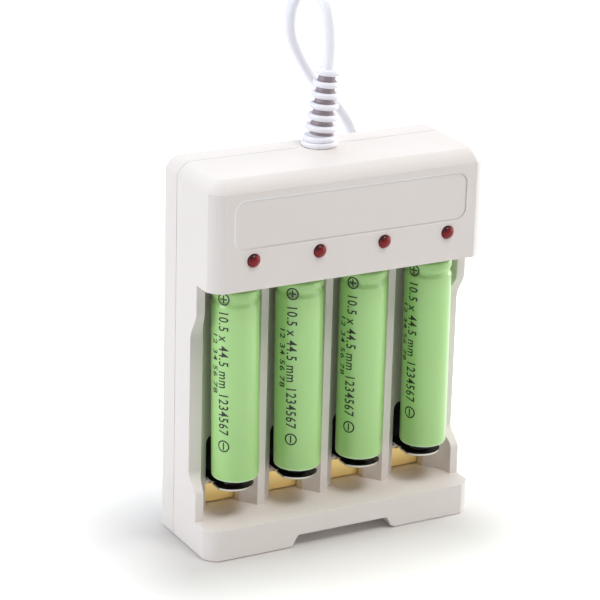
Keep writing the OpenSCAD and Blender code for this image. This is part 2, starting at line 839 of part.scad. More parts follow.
front_housing();
rear_cover();
cover_screws();
circuit_board();
board_screws();
charge_resistors();
transistors();
capacitor();
control_chip();
led(0);  // led_1
led(1);  // led_2
led(2);  // led_3
led(3);  // led_4
contact_carrier();
negative_bus();
negative_leaf(0);  // negative_leaf_1
negative_leaf(1);  // negative_leaf_2
negative_leaf(2);  // negative_leaf_3
negative_leaf(3);  // negative_leaf_4
positive_contact(0);  // positive_contact_1
positive_contact(1);  // positive_contact_2
positive_contact(2);  // positive_contact_3
positive_contact(3);  // positive_contact_4
aaa_flap(0);  // aaa_flap_1
aaa_flap(1);  // aaa_flap_2
aaa_flap(2);  // aaa_flap_3
aaa_flap(3);  // aaa_flap_4
cell_can(0);  // cell_can_1
cell_can(1);  // cell_can_2
cell_can(2);  // cell_can_3
cell_can(3);  // cell_can_4
cell_sleeve(0);  // cell_sleeve_1
cell_sleeve(1);  // cell_sleeve_2
cell_sleeve(2);  // cell_sleeve_3
cell_sleeve(3);  // cell_sleeve_4
strain_relief();
cord();
cord_coil();
cord_tail();
plug_grip();
plug_shell();
plug_tongue();
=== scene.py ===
import json
import math
import bmesh
import bpy
from mathutils import Matrix, Vector

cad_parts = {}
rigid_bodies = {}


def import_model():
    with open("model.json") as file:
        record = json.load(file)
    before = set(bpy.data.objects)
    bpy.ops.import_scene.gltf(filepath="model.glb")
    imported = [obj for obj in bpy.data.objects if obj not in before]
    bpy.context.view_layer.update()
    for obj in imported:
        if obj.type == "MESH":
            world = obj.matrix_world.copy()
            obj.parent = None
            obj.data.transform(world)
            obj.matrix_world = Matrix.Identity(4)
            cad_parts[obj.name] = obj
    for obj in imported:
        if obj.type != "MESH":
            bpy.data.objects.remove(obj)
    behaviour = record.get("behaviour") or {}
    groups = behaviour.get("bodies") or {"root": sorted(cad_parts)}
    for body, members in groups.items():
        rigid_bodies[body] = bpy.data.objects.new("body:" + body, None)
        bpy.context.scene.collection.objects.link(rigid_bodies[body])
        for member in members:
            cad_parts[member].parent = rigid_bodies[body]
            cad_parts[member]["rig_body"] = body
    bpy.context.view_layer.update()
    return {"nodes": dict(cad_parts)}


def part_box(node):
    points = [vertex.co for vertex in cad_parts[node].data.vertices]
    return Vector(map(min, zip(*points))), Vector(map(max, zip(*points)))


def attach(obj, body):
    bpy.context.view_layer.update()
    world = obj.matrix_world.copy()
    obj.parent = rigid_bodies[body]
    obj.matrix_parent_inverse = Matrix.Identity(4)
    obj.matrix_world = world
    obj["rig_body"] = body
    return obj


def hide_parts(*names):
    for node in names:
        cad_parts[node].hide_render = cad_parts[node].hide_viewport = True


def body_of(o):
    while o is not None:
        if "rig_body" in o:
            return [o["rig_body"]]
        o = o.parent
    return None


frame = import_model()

nodes = frame["nodes"]


# Camera: a long lens a little above and to the left of the front, as the photograph
# was taken. Distances are in metres from the middle of the base.
aim = Vector((-0.0064, -0.00045, 0.05348))
distance = 0.5845
azimuth, elevation, roll = (math.radians(a) for a in (-28.69, 19.64, 1.58))

back = Vector((math.sin(azimuth) * math.cos(elevation),
               -math.cos(azimuth) * math.cos(elevation), math.sin(elevation)))
right = Vector((math.cos(azimuth), math.sin(azimuth), 0.0))
up = back.cross(right)
right, up = (right * math.cos(roll) + up * math.sin(roll),
             up * math.cos(roll) - right * math.sin(roll))
camera_data = bpy.data.cameras.new("camera")
camera_data.sensor_width = 36.0
camera_data.lens = 161.0
camera_data.clip_start = 0.05
camera_data.clip_end = 10.0
camera = bpy.data.objects.new("camera", camera_data)
camera.matrix_world = Matrix.Translation(aim + back * distance) @ Matrix(
    (right, up, back)).transposed().to_4x4()
bpy.context.scene.collection.objects.link(camera)
bpy.context.scene.camera = camera


# Lead: a limp two-core cord in white flexible PVC, 2.8 mm thick. It arches out of the
# strain relief, comes down behind the housing and is wound in a coil on the table.
mm = 0.001
cord_d = 2.8
relief_tip = Vector((2.45, 6.05, 102.975))
cord_route = [
    (2.8, 6.1, 105.9), (2.9, 6.2, 108.5), (2.8, 6.3, 111.2), (2.6, 6.7, 113.8),
    (2.4, 7.6, 116.2), (2.2, 9.3, 118.1), (1.9, 11.8, 119.1), (1.6, 14.5, 118.9),
    (1.3, 16.9, 117.7), (0.9, 18.7, 115.7), (0.6, 19.7, 113.2), (0.6, 20.2, 110.6),
    (0.9, 20.4, 107.9), (1.8, 20.5, 105.3), (3.3, 20.5, 102.3), (6.2, 20.4, 97.7),
    (9.8, 20.3, 93.6), (13.2, 20, 89.9), (15.9, 19.5, 85.4), (17.6, 19.1, 80.5),
    (18.6, 18.8, 75.5), (19.1, 18.4, 69), (19.3, 18, 61), (19, 18, 53), (18.6, 18, 45),
    (18, 18, 37), (17.3, 18, 29), (16.3, 18.1, 21), (14.8, 18.3, 14.5), (12.2, 18.5, 9.5),
    (8.5, 18.7, 6.2)]
tail_route = [(9, 54.6, 1.45), (13, 53.3, 1.6), (16.8, 51.9, 2.3), (20.8, 50.4, 3.3),
              (25, 49.5, 4)]
# The coil, in millimetres and degrees: three turns inwards on top, half a turn, and two
# turns outwards under them. The cord moves over, and down, within a part of a turn.
coil_middle = (3.0, 37.0)
turn_radii = (18.2, 15.4, 12.6)
upper_z, lower_z = 4.2, 1.4
wound_in, wound_level, wound_out = 3 * 360, 180, 2 * 360
move_in, move_down, move_out, before_move_out = 55, 95, 45, 15
first_point, point_step = 8, 24


def eased(t):
    """A smooth rise from 0 to 1."""
    return 0.5 - 0.5 * math.cos(math.pi * min(1.0, max(0.0, t)))


def coil_point(wound):
    """The cord's middle after this many degrees of winding, upper layer first."""
    z = lower_z
    if wound < wound_in:
        lap, part = divmod(wound, 360)
        r_now, r_next = turn_radii[lap], turn_radii[min(lap + 1, 2)]
        r = r_now + (r_next - r_now) * eased((part - (360 - move_in)) / move_in)
        z = upper_z - cord_d * eased((wound - (wound_in - move_down)) / move_down)
    elif wound < wound_in + wound_level:
        r = turn_radii[2]
    else:
        lap, part = divmod(wound - wound_in - wound_level, 360)
        r = turn_radii[2 - lap] + cord_d * eased((part - before_move_out) / move_out)
    angle = math.radians(-90 - wound)
    return (coil_middle[0] + r * math.cos(angle), coil_middle[1] + r * math.sin(angle), z)


coil_end = wound_in + wound_level + wound_out
coil_points = [coil_point(wound) for wound in range(first_point, coil_end + 1, point_step)]
lead_points = [Vector(p) for p in
               [relief_tip, *cord_route, *coil_points, *tail_route]]


def new_curve(name, points, radius):
    """One smooth open curve through the points, in millimetres, with a round section."""
    steps = 4
    data = bpy.data.curves.new(name, "CURVE")
    data.dimensions = "3D"
    data.resolution_u = data.render_resolution_u = steps
    data.bevel_depth = radius * mm
    data.bevel_resolution = 3
    data.use_fill_caps = True
    spline = data.splines.new("BEZIER")
    spline.bezier_points.add(len(points) - 1)
    last = len(points) - 1
    for i, (knot, p) in enumerate(zip(spline.bezier_points, points)):
        before, after = points[max(i - 1, 0)], points[min(i + 1, last)]
        along = (after - before).normalized()
        knot.handle_left_type = knot.handle_right_type = "FREE"
        knot.co = p * mm
        knot.handle_left = (p - along * (p - before).length / 3) * mm
        knot.handle_right = (p + along * (after - p).length / 3) * mm
    curve = bpy.data.objects.new(name, data)
    bpy.context.scene.collection.objects.link(curve)
    return curve


def linear(hex_colour):
    """An sRGB hex colour as the linear colour that a shader socket takes."""
    values = [int(hex_colour[i:i + 2], 16) / 255 for i in (1, 3, 5)]
    return tuple(v / 12.92 if v <= 0.04045 else ((v + 0.055) / 1.055) ** 2.4
                 for v in values) + (1.0,)


def new_material(name, hex_colour, roughness, metallic=0.0, ior=None):
    """A material, its node tree and its one Principled shader."""
    material = bpy.data.materials.new(name)
    material.use_nodes = True
    shader = material.node_tree.nodes["Principled BSDF"]
    shader.inputs["Base Color"].default_value = linear(hex_colour)
    shader.inputs["Roughness"].default_value = roughness
    shader.inputs["Metallic"].default_value = metallic
    if ior:
        shader.inputs["IOR"].default_value = ior
    return material, material.node_tree, shader


def add_node(tree, kind, inputs=None, **settings):
    """A node with its settings. Each input gets a value, or a link from a socket."""
    node = tree.nodes.new(kind)
    for name, value in settings.items():
        setattr(node, name, value)
    for name, value in (inputs or {}).items():
        if isinstance(value, bpy.types.NodeSocket):
            tree.links.new(value, node.inputs[name])
        else:
            node.inputs[name].default_value = value
    return node


def mottled(tree, shader, low, high, size_mm, rough_low, rough_high, grain_mm, bump):
    """Colour and roughness that drift over the surface, and a fine moulded grain."""
    place = add_node(tree, "ShaderNodeTexCoord").outputs["Object"]
    drift = add_node(tree, "ShaderNodeTexNoise",
                     {"Vector": place, "Scale": 1000 / size_mm, "Detail": 3.0}).outputs["Fac"]
    tint = add_node(tree, "ShaderNodeMix",
                    {"Factor": drift, "A": linear(low), "B": linear(high)},
                    data_type="RGBA").outputs["Result"]
    tree.links.new(tint, shader.inputs["Base Color"])
    gloss = add_node(tree, "ShaderNodeMapRange",
                     {"Value": drift, "To Min": rough_low, "To Max": rough_high})
    tree.links.new(gloss.outputs["Result"], shader.inputs["Roughness"])
    grain = add_node(tree, "ShaderNodeTexNoise",
                     {"Vector": place, "Scale": 1000 / grain_mm, "Detail": 2.0})
    grained = add_node(tree, "ShaderNodeBump", {"Strength": bump, "Distance": 0.05 * mm,
                                                "Height": grain.outputs["Fac"]})
    tree.links.new(grained.outputs["Normal"], shader.inputs["Normal"])
    return tint


# Flexible PVC, extruded: a cool white with a soft sheen and almost no texture.
soft_pvc, tree, shader = new_material("flexible_pvc", "#E9E7F1", 0.38, ior=1.53)
mottled(tree, shader, "#F6F5FC", "#FCFBFF", 9, 0.33, 0.44, 0.5, 0.08)
shader.inputs["Coat Weight"].default_value = 0.4
shader.inputs["Coat Roughness"].default_value = 0.35
shader.inputs["Subsurface Weight"].default_value = 0.08
shader.inputs["Subsurface Radius"].default_value = (0.0012, 0.0012, 0.0014)

lead = new_curve("lead", lead_points, cord_d / 2)
lead.data.materials.append(soft_pvc)
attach(lead, body_of(nodes["cord"])[0])
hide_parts("cord", "cord_coil", "cord_tail")


# Strain relief: soft PVC moulded round the lead, a stepped base and a row of ribs that
# get narrower upwards, leaning a little, with its flange held inside the housing.
def new_piece(name, mesh, node):
    """A piece made of this bmesh, which rides on the body of a CAD node."""
    data = bpy.data.meshes.new(name)
    mesh.to_mesh(data)
    mesh.free()
    piece = bpy.data.objects.new(name, data)
    bpy.context.scene.collection.objects.link(piece)
    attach(piece, body_of(nodes[node])[0])
    return piece


def finished_copy(node, sharp, bevel, flat=1e9, keen=(1, 1), reshape=None):
    """The CAD node's shape as one clean mesh, smooth where it is round, edges broken.

    Edges that turn by more than sharp, in degrees, are broken by the bevel, in mm, except
    between the two Y places in keen. A face larger than flat, in square mm, is shaded
    flat right up to its edges. The reshape moves each vertex first.
    """
    weld, straight, level = 0.002 * mm, math.radians(0.3), 0.5
    mesh = bmesh.new()
    mesh.from_mesh(nodes[node].data)
    if reshape:
        for vert in mesh.verts:
            reshape(vert.co)
    bmesh.ops.remove_doubles(mesh, verts=mesh.verts, dist=weld)
    bmesh.ops.dissolve_limit(mesh, angle_limit=straight, verts=mesh.verts, edges=mesh.edges)
    for face in mesh.faces:
        face.smooth = True
    weight = mesh.edges.layers.float.new("bevel_weight_edge")
    for edge in mesh.edges:
        turn = math.degrees(edge.calc_face_angle(math.pi))
        broad = any(face.calc_area() > flat * mm * mm for face in edge.link_faces)
        edge.smooth = turn < (level if broad else sharp)
        unbroken = all(keen[0] <= vert.co.y / mm <= keen[1] for vert in edge.verts)
        edge[weight] = 1.0 if turn >= sharp and not unbroken else 0.0
    piece = new_piece(node + "_piece", mesh, node)
    edges = piece.modifiers.new("broken_edges", "BEVEL")
    edges.width = bevel * mm
    edges.segments = 2
    edges.limit_method = "WEIGHT"
    edges.harden_normals = True
    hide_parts(node)
    return piece


def paint(piece, material):
    """Gives the piece its one material."""
    piece.data.materials.clear()
    piece.data.materials.append(material)


# The same PVC, with painted shade on the core between the ribs. The core is
# a slim cone round the leaning axis. Heights are in millimetres along it, from its foot.
relief_pvc, tree, shader = new_material("ribbed_pvc", "#EDEBF5", 0.4, ior=1.53)
tint = mottled(tree, shader, "#F3F2FA", "#FBFAFF", 6, 0.35, 0.46, 0.4, 0.08)
shader.inputs["Subsurface Weight"].default_value = 0.05
shader.inputs["Subsurface Radius"].default_value = (0.0012, 0.0012, 0.0014)
relief_lean = math.radians(5.4)
relief_axis = (math.sin(relief_lean), 0.0, math.cos(relief_lean))
relief_h = 17
lowest_rib, highest_rib = 2.5, 15.7
core_r, core_taper = 2.75, 0.04
foot = (relief_tip - Vector(relief_axis) * relief_h) * mm
place = add_node(tree, "ShaderNodeTexCoord").outputs["Object"]
from_foot = add_node(tree, "ShaderNodeVectorMath", {0: place, 1: tuple(foot)},
                     operation="SUBTRACT").outputs[0]
rise = add_node(tree, "ShaderNodeVectorMath", {0: from_foot, 1: relief_axis},
                operation="DOT_PRODUCT").outputs["Value"]
on_axis = add_node(tree, "ShaderNodeVectorMath", {0: relief_axis, "Scale": rise},
                   operation="SCALE").outputs[0]
aside = add_node(tree, "ShaderNodeVectorMath", {0: from_foot, 1: on_axis},
                 operation="DISTANCE").outputs["Value"]
core = add_node(tree, "ShaderNodeMath", {0: rise, 1: -core_taper, 2: core_r * mm},
                operation="MULTIPLY_ADD").outputs[0]
groove_shade = add_node(tree, "ShaderNodeMath", {0: aside, 1: core}, operation="LESS_THAN").outputs[0]
for test, height in (("GREATER_THAN", lowest_rib), ("LESS_THAN", highest_rib)):
    passed = add_node(tree, "ShaderNodeMath", {0: rise, 1: height * mm}, operation=test)
    groove_shade = add_node(tree, "ShaderNodeMath", {0: groove_shade, 1: passed.outputs[0]},
                    operation="MULTIPLY").outputs[0]
# The painted shade's colour, mixed in where the core lies between the lowest and highest rib.
shade = add_node(tree, "ShaderNodeMix", {"Factor": groove_shade, "A": tint, "B": linear("#9A8B90")},
                 data_type="RGBA")
tree.links.new(shade.outputs["Result"], shader.inputs["Base Color"])

relief = finished_copy("strain_relief", sharp=50, bevel=0.12)
paint(relief, relief_pvc)


# Housing: two halves moulded in ivory white ABS, with bays for the cells, a ledge, a hood
# with a shallow label panel, and a fine groove where the halves meet. The surface is matt,
# with a grain of a third of a millimetre and a slight drift in tone.
white_abs, tree, shader = new_material("moulded_abs", "#EDEAE8", 0.5, ior=1.52)
tint = mottled(tree, shader, "#E5DDD6", "#EBE3DC", 22, 0.45, 0.56, 0.35, 0.22)
shader.inputs["Subsurface Weight"].default_value = 0.06
shader.inputs["Subsurface Radius"].default_value = (0.002, 0.0017, 0.0014)


def beyond_box(tree, place, middle, half):
    """How far a place is outside the box with this middle and this half size."""
    gap = place
    for operation, other in (("SUBTRACT", middle), ("ABSOLUTE", (0, 0, 0)),
                             ("SUBTRACT", half), ("MAXIMUM", (0, 0, 0))):
        gap = add_node(tree, "ShaderNodeVectorMath", {0: gap, 1: other},
                       operation=operation).outputs[0]
    return add_node(tree, "ShaderNodeVectorMath", {0: gap}, operation="LENGTH").outputs["Value"]


# Painted light round the label panel: a painted highlight along its lip at the left and top,
# painted shade inside its right and bottom, and a faint painted highlight outside those. Each
# is r round the middles of the panel's rounded corners, and fades on the way between lower
# right and upper left.
panel_z, panel_half_w, panel_half_h = 76.26, 28.2, 5.4
corner_x, corner_z = 25.6, 2.77
line_front = -11.2
panel_middle = (0, 0, panel_z * mm)
place = add_node(tree, "ShaderNodeTexCoord").outputs["Object"]
from_corner = beyond_box(tree, place, panel_middle, (corner_x * mm, 1, corner_z * mm))
from_middle = add_node(tree, "ShaderNodeVectorMath", {0: place, 1: panel_middle},
                       operation="SUBTRACT").outputs[0]
to_upper_left = add_node(tree, "ShaderNodeVectorMath",
                         {0: from_middle,
                          1: (-1 / (panel_half_w * mm), 0, 1 / (panel_half_h * mm))},
                         operation="DOT_PRODUCT").outputs["Value"]
ahead = add_node(tree, "ShaderNodeSeparateXYZ", {"Vector": place}).outputs["Y"]
ahead = add_node(tree, "ShaderNodeMath", {0: ahead, 1: line_front * mm},
                 operation="LESS_THAN").outputs[0]
for r, width, fade_from, fade_to, strength, light_or_shade_colour in (
        (2.62, 0.2, 0.0, 0.4, 0.8, "#FFFFFF"), (2.45, 0.22, 0.1, -0.3, 0.5, "#B5A99C"),
        (2.75, 0.16, -0.2, -0.9, 0.35, "#FFFFFF")):
    near = add_node(tree, "ShaderNodeMath", {0: from_corner, 1: r * mm}, operation="SUBTRACT")
    near = add_node(tree, "ShaderNodeMath", {0: near.outputs[0]}, operation="ABSOLUTE")
    line = add_node(tree, "ShaderNodeMapRange",
                    {"Value": near.outputs[0], "From Min": 0.3 * width * mm,
                     "From Max": width * mm, "To Min": strength, "To Max": 0.0})
    fade = add_node(tree, "ShaderNodeMapRange",
                    {"Value": to_upper_left, "From Min": fade_from, "From Max": fade_to})
    line = add_node(tree, "ShaderNodeMath",
                    {0: line.outputs["Result"], 1: fade.outputs["Result"]}, operation="MULTIPLY")
    line = add_node(tree, "ShaderNodeMath", {0: line.outputs[0], 1: ahead},
                    operation="MULTIPLY")
    tint = add_node(tree, "ShaderNodeMix", {"Factor": line.outputs[0], "A": tint,
                                            "B": linear(light_or_shade_colour)},
                    data_type="RGBA").outputs["Result"]
tree.links.new(tint, shader.inputs["Base Color"])

# In millimetres, the panel's floor in the CAD and here, how far the panel reaches to the
# sides and where the hood ends, the ribs between the cells, and the toes at their feet.
panel_floor, raised_floor, panel_reach, hood_low = -10.95, -11.27, 29, 64
bay_pitch = 15.8
rib_half, rib_front = 0.87, -2.06
toe_half, toe_front, toe_low, toe_high = 0.95, -7, 6.9, 18
toe_left = 0.02


def trimmed(point):
    """Raises the label panel's floor, and takes the toes off the ribs between the cells.

    A small part of a toe's offset stays, so that no two of its vertices merge.
    """
    x, y, z = point / mm
    if abs(y - panel_floor) < 0.02 and abs(x) < panel_reach and z > hood_low:
        point.y = raised_floor * mm
    for rib_x in (-bay_pitch, 0.0, bay_pitch):
        beside = x - rib_x
        if (abs(beside) < toe_half and toe_low < z < toe_high
                and toe_front < y < rib_front - 0.01):
            half = rib_half + toe_left * (abs(beside) - rib_half)
            point.x = (rib_x + math.copysign(half, beside)) * mm
            point.y = (rib_front + toe_left * (y - rib_front)) * mm


near_seam = (5.6, 7)
front = finished_copy("front_housing", sharp=24, bevel=0.2, flat=12, keen=near_seam,
                      reshape=trimmed)
paint(front, white_abs)
cover = finished_copy("rear_cover", sharp=24, bevel=0.15, flat=12, keen=near_seam)
paint(cover, white_abs)


# Screws: zinc-plated steel, pan heads with a cross recess, four deep in the rear cover
# and two on the circuit board.
zinc, tree, shader = new_material("zinc_plated_steel", "#B9BCC2", 0.3, 1.0)
mottled(tree, shader, "#A9ADB4", "#C8CACE", 1.5, 0.24, 0.4, 0.15, 0.15)


def screw_tree():
    """A geometry tree that stands one cross-recess screw on each point, head to the back."""
    group = bpy.data.node_groups.new("cross_recess_screws", "GeometryNodeTree")
    for name, kind in (("Points", "Geometry"), ("Head radius", "Float"),
                       ("Head height", "Float"), ("Shank radius", "Float"),
                       ("Shank length", "Float"), ("Finish", "Material")):
        group.interface.new_socket(name, in_out="INPUT", socket_type="NodeSocket" + kind)
    group.interface.new_socket("Screws", in_out="OUTPUT", socket_type="NodeSocketGeometry")
    given = add_node(group, "NodeGroupInput").outputs
    head_r, head_h = given["Head radius"], given["Head height"]
    half_h = add_node(group, "ShaderNodeMath", {0: head_h, 1: 0.5}, operation="MULTIPLY")
    middle = add_node(group, "ShaderNodeCombineXYZ", {"Z": half_h.outputs[0]}).outputs[0]
    head = add_node(group, "GeometryNodeMeshCylinder",
                    {"Vertices": 40, "Radius": head_r, "Depth": head_h})
    head = add_node(group, "GeometryNodeTransform",
                    {"Geometry": head.outputs["Mesh"], "Translation": middle})
    bar_l = add_node(group, "ShaderNodeMath", {0: head_r, 1: 1.2}, operation="MULTIPLY")
    bar_w = add_node(group, "ShaderNodeMath", {0: head_r, 1: 0.26}, operation="MULTIPLY")
    bar_size = add_node(group, "ShaderNodeCombineXYZ",
                        {"X": bar_l.outputs[0], "Y": bar_w.outputs[0], "Z": head_h})
    bar = add_node(group, "GeometryNodeMeshCube", {"Size": bar_size.outputs[0]})
    top = add_node(group, "ShaderNodeCombineXYZ", {"Z": head_h}).outputs[0]
    cut = add_node(group, "GeometryNodeMeshBoolean", operation="DIFFERENCE", solver="EXACT")
    group.links.new(head.outputs[0], cut.inputs["Mesh 1"])
    for angle in (0, math.pi / 2):
        arm = add_node(group, "GeometryNodeTransform",
                       {"Geometry": bar.outputs["Mesh"], "Translation": top,
                        "Rotation": (0, 0, angle)})
        group.links.new(arm.outputs[0], cut.inputs["Mesh 2"])
    down = add_node(group, "ShaderNodeMath", {0: given["Shank length"], 1: -0.5},
                    operation="MULTIPLY").outputs[0]
    middle = add_node(group, "ShaderNodeCombineXYZ", {"Z": down}).outputs[0]
    shank = add_node(group, "GeometryNodeMeshCylinder",
                     {"Vertices": 20, "Radius": given["Shank radius"],
                      "Depth": given["Shank length"]})
    shank = add_node(group, "GeometryNodeTransform",
                     {"Geometry": shank.outputs["Mesh"], "Translation": middle})
    screw = add_node(group, "GeometryNodeJoinGeometry")
    for part in (cut, shank):
        group.links.new(part.outputs[0], screw.inputs[0])
    stood = add_node(group, "GeometryNodeInstanceOnPoints",
                     {"Points": given["Points"], "Instance": screw.outputs[0],
                      "Rotation": (-math.pi / 2, 0, 0)})
    real = add_node(group, "GeometryNodeRealizeInstances", {"Geometry": stood.outputs[0]})
    plated_or_shaded = add_node(group, "GeometryNodeSetMaterial",
                      {"Geometry": real.outputs[0], "Material": given["Finish"]})
    add_node(group, "NodeGroupOutput", {"Screws": plated_or_shaded.outputs[0]})
    return group


def grown(name, points, group, values):
    """The tree's result on these points, as a plain mesh object at the origin."""
    data = bpy.data.meshes.new(name + "_points")
    data.from_pydata(points, [], [])
    host = bpy.data.objects.new(name + "_points", data)
    bpy.context.scene.collection.objects.link(host)
    maker = host.modifiers.new("maker", "NODES")
    maker.node_group = group
    for socket in group.interface.items_tree:
        if socket.item_type == "SOCKET" and socket.in_out == "INPUT" and socket.name in values:
            maker[socket.identifier] = values[socket.name]
    graph = bpy.context.evaluated_depsgraph_get()
    mesh = bpy.data.meshes.new_from_object(host.evaluated_get(graph), depsgraph=graph)
    host.modifiers.remove(maker)
    bpy.data.objects.remove(host)
    mesh.name = name
    piece = bpy.data.objects.new(name, mesh)
    bpy.context.scene.collection.objects.link(piece)
    return piece


screws = screw_tree()
for node, *sizes in (("cover_screws", 2.0, 1.4, 0.86, 8.2),
                     ("board_screws", 1.9, 1.2, 0.76, 5.4)):
    head_r, head_h, shank_r, shank_l = (size * mm for size in sizes)
    low, high = (Vector(c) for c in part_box(node))
    heights = ((low.z + head_r, high.z - head_r) if node == "cover_screws"
               else ((low.z + high.z) / 2,))
    points = [(x, high.y - head_h, z) for x in (low.x + head_r, high.x - head_r)
              for z in heights]
    piece = grown(node + "_set", points, screws, {
        "Head radius": head_r, "Head height": head_h, "Shank radius": shank_r,
        "Shank length": shank_l, "Finish": zinc})
    for face in piece.data.polygons:
        face.use_smooth = False
    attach(piece, body_of(nodes[node])[0])
    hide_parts(node)


# Circuit board and its parts, shut in the hood: glass epoxy with green mask, film
# resistors, moulded transistors, a tubular capacitor and a black chip.
fr4, tree, shader = new_material("green_masked_board", "#1E5A34", 0.35, ior=1.55)
mottled(tree, shader, "#184C2B", "#26663D", 3, 0.3, 0.42, 0.4, 0.1)
film, tree, shader = new_material("resistor_lacquer", "#C9A878", 0.35, ior=1.5)
mottled(tree, shader, "#BD9B6B", "#D2B384", 2, 0.3, 0.42, 0.3, 0.1)
epoxy, tree, shader = new_material("moulded_epoxy", "#1B1B1D", 0.5, ior=1.55)
mottled(tree, shader, "#161618", "#232326", 1.5, 0.42, 0.6, 0.2, 0.2)
sheath, tree, shader = new_material("capacitor_sheath", "#20222C", 0.3, ior=1.5)
mottled(tree, shader, "#1B1D26", "#282B38", 3, 0.24, 0.36, 0.4, 0.06)
for node, material, slot, bevel in (
        ("circuit_board", fr4, "board", 0.05), ("charge_resistors", film, "resistor", 0.2),
        ("transistors", epoxy, "black_plastic", 0.08), ("capacitor", sheath, "black_plastic", 0.3),
        ("control_chip", epoxy, "black_plastic", 0.1)):
    paint(finished_copy(node, sharp=40, bevel=bevel), material)


# Lamps: four 3 mm red lamps moulded in tinted clear epoxy, each a dome on a short barrel
# with a collar behind the hood's front. The epoxy is drawn opaque: deep red, darker at the
# top, and painted light low down, where light gathers in the lens.
lens, tree, shader = new_material("tinted_epoxy_lens", "#6E0C10", 0.12, ior=1.55)
shader.inputs["Specular IOR Level"].default_value = 0.2
low_side = add_node(tree, "ShaderNodeAttribute", attribute_name="low_side")
lens_light_ramp = add_node(tree, "ShaderNodeValToRGB", {"Fac": low_side.outputs["Fac"]})
stops = ((0.12, "#3E0507"), (0.34, "#86060C"), (0.7, "#861E24"), (1.0, "#C07A60"))
# A ramp has two stops and sorts them by place, so the others come before any is set.
for at, _ in stops[1:3]:
    lens_light_ramp.color_ramp.elements.new(at)
for spot, (at, colour) in zip(lens_light_ramp.color_ramp.elements, stops):
    spot.position = at
    spot.color = linear(colour)
tree.links.new(lens_light_ramp.outputs["Color"], shader.inputs["Base Color"])
cloud_size = 1.11
place = add_node(tree, "ShaderNodeTexCoord").outputs["Object"]
cloud = add_node(tree, "ShaderNodeTexNoise",
                 {"Vector": place, "Scale": 1000 / cloud_size, "Detail": 2.0})
gloss = add_node(tree, "ShaderNodeMapRange",
                 {"Value": cloud.outputs["Fac"], "To Min": 0.09, "To Max": 0.16})
tree.links.new(gloss.outputs["Result"], shader.inputs["Roughness"])


def turned(profile, steps):
    """A bmesh turned about Z from a profile of radius and height pairs, in millimetres."""
    mesh = bmesh.new()
    rings = []
    for r, z in profile:
        if r < 1e-6:
            rings.append([mesh.verts.new((0, 0, z * mm))])
        else:
            rings.append([mesh.verts.new((r * mm * math.cos(2 * math.pi * k / steps),
                                          r * mm * math.sin(2 * math.pi * k / steps), z * mm))
                          for k in range(steps)])
    for low, high in zip(rings, rings[1:]):
        for k in range(steps):
            n = (k + 1) % steps
            if len(low) == 1:
                mesh.faces.new((low[0], high[k], high[n])[::-1])
            elif len(high) == 1:
                mesh.faces.new((low[k], low[n], high[0]))
            else:
                mesh.faces.new((low[k], low[n], high[n], high[k]))
    bmesh.ops.recalc_face_normals(mesh, faces=mesh.faces)
    for face in mesh.faces:
        face.smooth = True
    return mesh


def mark_sharp(mesh, degrees):
    """Shades the bmesh smooth, apart from edges that turn by more than this."""
    for edge in mesh.edges:
        edge.smooth = len(edge.link_faces) == 2 and (
            edge.calc_face_angle(0.0) < math.radians(degrees))


# A lamp's profile, in millimetres back from its CAD node's front: the dome stands a little
# lower than the CAD's, then come the barrel, the collar and the foot.
dome_r, dome_back, collar_r = 1.45, 0.3, 1.75
lamp_profile = [(dome_r * math.sin(math.radians(a)), dome_back + 1 - math.cos(math.radians(a)))
                for a in range(0, 91, 10)]
lamp_profile += [(dome_r, 3.3), (collar_r, 3.35), (collar_r, 4.1), (dome_r, 4.2),
                 (dome_r, 5.6), (0, 5.7)]
lens_across = 2.6
for i in range(1, 5):
    node = "led_%d" % i
    low, high = (Vector(c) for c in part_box(node))
    mesh = turned(lamp_profile, steps=40)
    mesh_layer = mesh.verts.layers.float.new("low_side")
    for vert in mesh.verts:
        downward = 0.5 + (0.45 * vert.co.x + 0.75 * vert.co.y) / (lens_across * mm)
        vert[mesh_layer] = min(1.0, max(0.0, downward))
    mark_sharp(mesh, degrees=50)
    mesh.transform(Matrix.Translation(((low.x + high.x) / 2, low.y, (low.z + high.z) / 2))
                   @ Matrix.Rotation(math.radians(-90), 4, "X"))
    lamp = new_piece("lamp_%d" % i, mesh, node)
    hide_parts(node)
    paint(lamp, lens)


# Contact carrier: the moulding behind the bays, of matt polypropylene. Its black is painted
# shade, seen as the shaded window above each flap.
window_shade_black, tree, shader = new_material("black_painted_shade", "#0E0E0F", 0.55, ior=1.49)
mottled(tree, shader, "#0B0B0C", "#131315", 4, 0.5, 0.65, 0.5, 0.15)
paint(finished_copy("contact_carrier", sharp=35, bevel=0.2), window_shade_black)


# Negative contacts: stamped brass strips on one brass bus, bright and slightly brushed.
# The grain of the rolled sheet runs across. The real one is a tenth of a millimetre fine,
# and this one is drawn coarser, so that it shows.
brass, tree, shader = new_material("rolled_brass", "#D9BC74", 0.32, 1.0)
grain_l, grain_w = 3.33, 0.25
place = add_node(tree, "ShaderNodeTexCoord").outputs["Object"]
stretched = add_node(tree, "ShaderNodeMapping",
                     {"Vector": place, "Scale": (1000 / grain_l, 1000 / grain_w, 1000 / grain_w)})
rolled = add_node(tree, "ShaderNodeTexNoise",
                  {"Vector": stretched.outputs[0], "Scale": 1.0, "Detail": 3.0}).outputs["Fac"]
tone = add_node(tree, "ShaderNodeMix",
                {"Factor": rolled, "A": linear("#FFE092"), "B": linear("#FFEAA8")},
                data_type="RGBA")
tree.links.new(tone.outputs["Result"], shader.inputs["Base Color"])
gloss = add_node(tree, "ShaderNodeMapRange", {"Value": rolled, "To Min": 0.4, "To Max": 0.5})
tree.links.new(gloss.outputs["Result"], shader.inputs["Roughness"])
for node in ["negative_bus"] + ["negative_leaf_%d" % i for i in range(1, 5)]:
    paint(finished_copy(node, sharp=30, bevel=0.05), brass)
